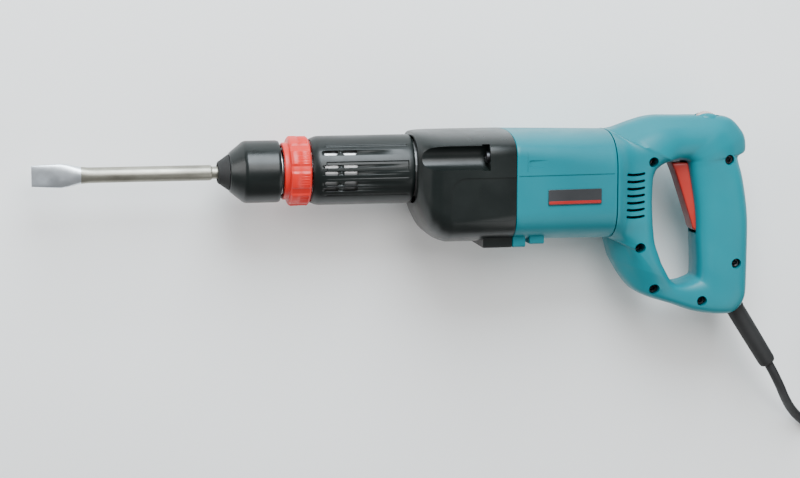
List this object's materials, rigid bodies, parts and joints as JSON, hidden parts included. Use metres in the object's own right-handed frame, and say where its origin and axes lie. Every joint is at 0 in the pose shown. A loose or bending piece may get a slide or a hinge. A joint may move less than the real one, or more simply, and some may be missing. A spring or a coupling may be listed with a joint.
{
  "type": "electric chipping hammer",
  "caption": "Hand-held electric chipping hammer with a flat chisel, twist-lock chuck, black gear housing, blue motor housing and D-handle with trigger.",
  "frame": {"origin": "bottom centre of the tool's box, its lead left out; the tool lies on its right side", "axes": "+X along the hammer axis from the chisel to the handle, +Y towards the tool's top, +Z towards the tool's left side"},
  "size_m": [0.816, 0.2965, 0.0961],
  "materials": {
    "black_housing": "satin moulded glass-filled nylon",
    "blue_housing": "smooth moulded plastic",
    "red_plastic": "smooth moulded plastic",
    "trigger_red": "moulded plastic",
    "dial_plastic": "satin moulded plastic",
    "badge": "printed plate with one red stripe",
    "rubber": "matt moulded rubber",
    "cord_jacket": "rubber jacket",
    "plug_plastic": "moulded rubber",
    "tool_steel": "forged, ground edge",
    "machined_steel": "turned and ground",
    "screw_steel": "black oxide",
    "alloy": "cast and machined",
    "copper": "copper, lacquered",
    "brass": "pressed sheet",
    "graphite": "carbon brush"
  },
  "bodies": {
    "housing": {"barrel_cover": "black_housing", "barrel_tube": "alloy", "holder_bearing": "machined_steel", "cylinder": "machined_steel", "gear_housing": "black_housing", "bearing_plate": "alloy", "countershaft_bearing_front": "machined_steel", "countershaft_bearing_rear": "machined_steel", "motor_housing": "blue_housing", "rear_bearing_plate": "black_housing", "badge_plate": "badge", "armature_bearing_front": "machined_steel", "armature_bearing_rear": "machined_steel", "stator_core": "machined_steel", "field_coil_top": "copper", "field_coil_bottom": "copper", "brush_holder_left": "brass", "brush_holder_right": "brass", "carbon_brush_left": "graphite", "carbon_brush_right": "graphite", "handle_left": "blue_housing", "handle_right": "blue_housing", "handle_screw_1": "screw_steel", "handle_screw_2": "screw_steel", "handle_screw_3": "screw_steel", "handle_screw_4": "screw_steel", "handle_screw_5": "screw_steel", "handle_screw_6": "screw_steel", "trigger_pin": "machined_steel", "switch_body": "black_housing", "cord_guard": "rubber", "power_cord": "cord_jacket", "cord_coil": "cord_jacket", "cord_tie": "rubber", "plug": "plug_plastic"},
    "holder": {"tool_holder": "machined_steel", "dust_cap": "rubber", "chuck_spring": "machined_steel", "change_ring_spring": "machined_steel"},
    "bit": {"chisel_bit": "tool_steel"},
    "sleeve": {"chuck_cover": "black_housing", "ball_keeper": "machined_steel"},
    "ball_left": {"locking_ball_left": "machined_steel"},
    "ball_right": {"locking_ball_right": "machined_steel"},
    "ring": {"change_ring": "red_plastic"},
    "bolt": {"impact_bolt": "machined_steel"},
    "striker": {"striker": "machined_steel"},
    "piston": {"piston": "alloy", "piston_pin": "machined_steel"},
    "swash": {"swash_ring": "machined_steel"},
    "countershaft": {"countershaft": "machined_steel", "driven_gear": "machined_steel", "swash_race": "machined_steel"},
    "armature": {"armature_shaft": "machined_steel", "armature_core": "machined_steel", "commutator": "copper", "cooling_fan": "black_housing"},
    "trigger": {"trigger": "trigger_red"},
    "plunger": {"switch_plunger": "machined_steel"},
    "dial": {"speed_dial": "dial_plastic"}
  },
  "joints": [
    {"name": "armature_spin", "type": "hinge", "parent": "housing", "child": "armature", "pos_m": [0.10503, 0.05059, 0.048], "axis": [1, 0, 0], "continuous": true},
    {"name": "countershaft_spin", "type": "hinge", "parent": "housing", "child": "countershaft", "pos_m": [0.05603, 0.02959, 0.048], "axis": [1, 0, 0], "continuous": true},
    {"name": "swash_rock", "type": "hinge", "parent": "housing", "child": "swash", "pos_m": [0.04103, 0.02959, 0.048], "axis": [0, 0, 1], "range_deg": [-12, 12]},
    {"name": "piston_slide", "type": "slide", "parent": "housing", "child": "piston", "axis": [1, 0, 0], "range_m": [-0.008, 0.008]},
    {"name": "striker_slide", "type": "slide", "parent": "housing", "child": "striker", "axis": [1, 0, 0], "range_m": [-0.005, 0.004]},
    {"name": "impact_bolt_slide", "type": "slide", "parent": "housing", "child": "bolt", "axis": [1, 0, 0], "range_m": [0, 0.003]},
    {"name": "tool_holder_turn", "type": "hinge", "parent": "housing", "child": "holder", "pos_m": [-0.10197, 0.06609, 0.048], "axis": [1, 0, 0], "continuous": true},
    {"name": "bit_slide", "type": "slide", "parent": "holder", "child": "bit", "axis": [-1, 0, 0], "range_m": [0, 0.009]},
    {"name": "chuck_cover_slide", "type": "slide", "parent": "holder", "child": "sleeve", "axis": [-1, 0, 0], "range_m": [-0.0065, 0], "stiffness_N_per_m": 800, "springref_m": 0.006, "deforming": ["chuck_spring"]},
    {"name": "ball_left_slide", "type": "slide", "parent": "holder", "child": "ball_left", "axis": [0, 0, 1], "range_m": [0, 0.0026]},
    {"name": "ball_right_slide", "type": "slide", "parent": "holder", "child": "ball_right", "axis": [0, 0, -1], "range_m": [0, 0.0026]},
    {"name": "change_ring_slide", "type": "slide", "parent": "holder", "child": "ring", "axis": [-1, 0, 0], "range_m": [0, 0.0045], "stiffness_N_per_m": 600, "springref_m": -0.005, "deforming": ["change_ring_spring"]},
    {"name": "trigger_pull", "type": "hinge", "parent": "housing", "child": "trigger", "pos_m": [0.23903, 0.01609, 0.048], "axis": [0, 0, -1], "range_deg": [0, 9], "stiffness_Nm_per_rad": 1.5, "springref_deg": -5.73},
    {"name": "plunger_slide", "type": "slide", "parent": "housing", "child": "plunger", "axis": [1, 0, 0], "range_m": [0, 0.0062]},
    {"name": "speed_dial_turn", "type": "hinge", "parent": "housing", "child": "dial", "pos_m": [0.24503, 0.09869, 0.048], "axis": [0, 0, 1], "range_deg": [-120, 120]}
  ],
  "couplings": [
    {"joint": "countershaft_spin", "follows": "armature_spin", "ratio": -0.27273},
    {"joint": "piston_slide", "follows": "swash_rock", "m_per_rad": -0.0365},
    {"joint": "ball_left_slide", "follows": "chuck_cover_slide", "ratio": -0.38461},
    {"joint": "ball_right_slide", "follows": "chuck_cover_slide", "ratio": -0.38461},
    {"joint": "plunger_slide", "follows": "trigger_pull", "m_per_rad": 0.038}
  ]
}
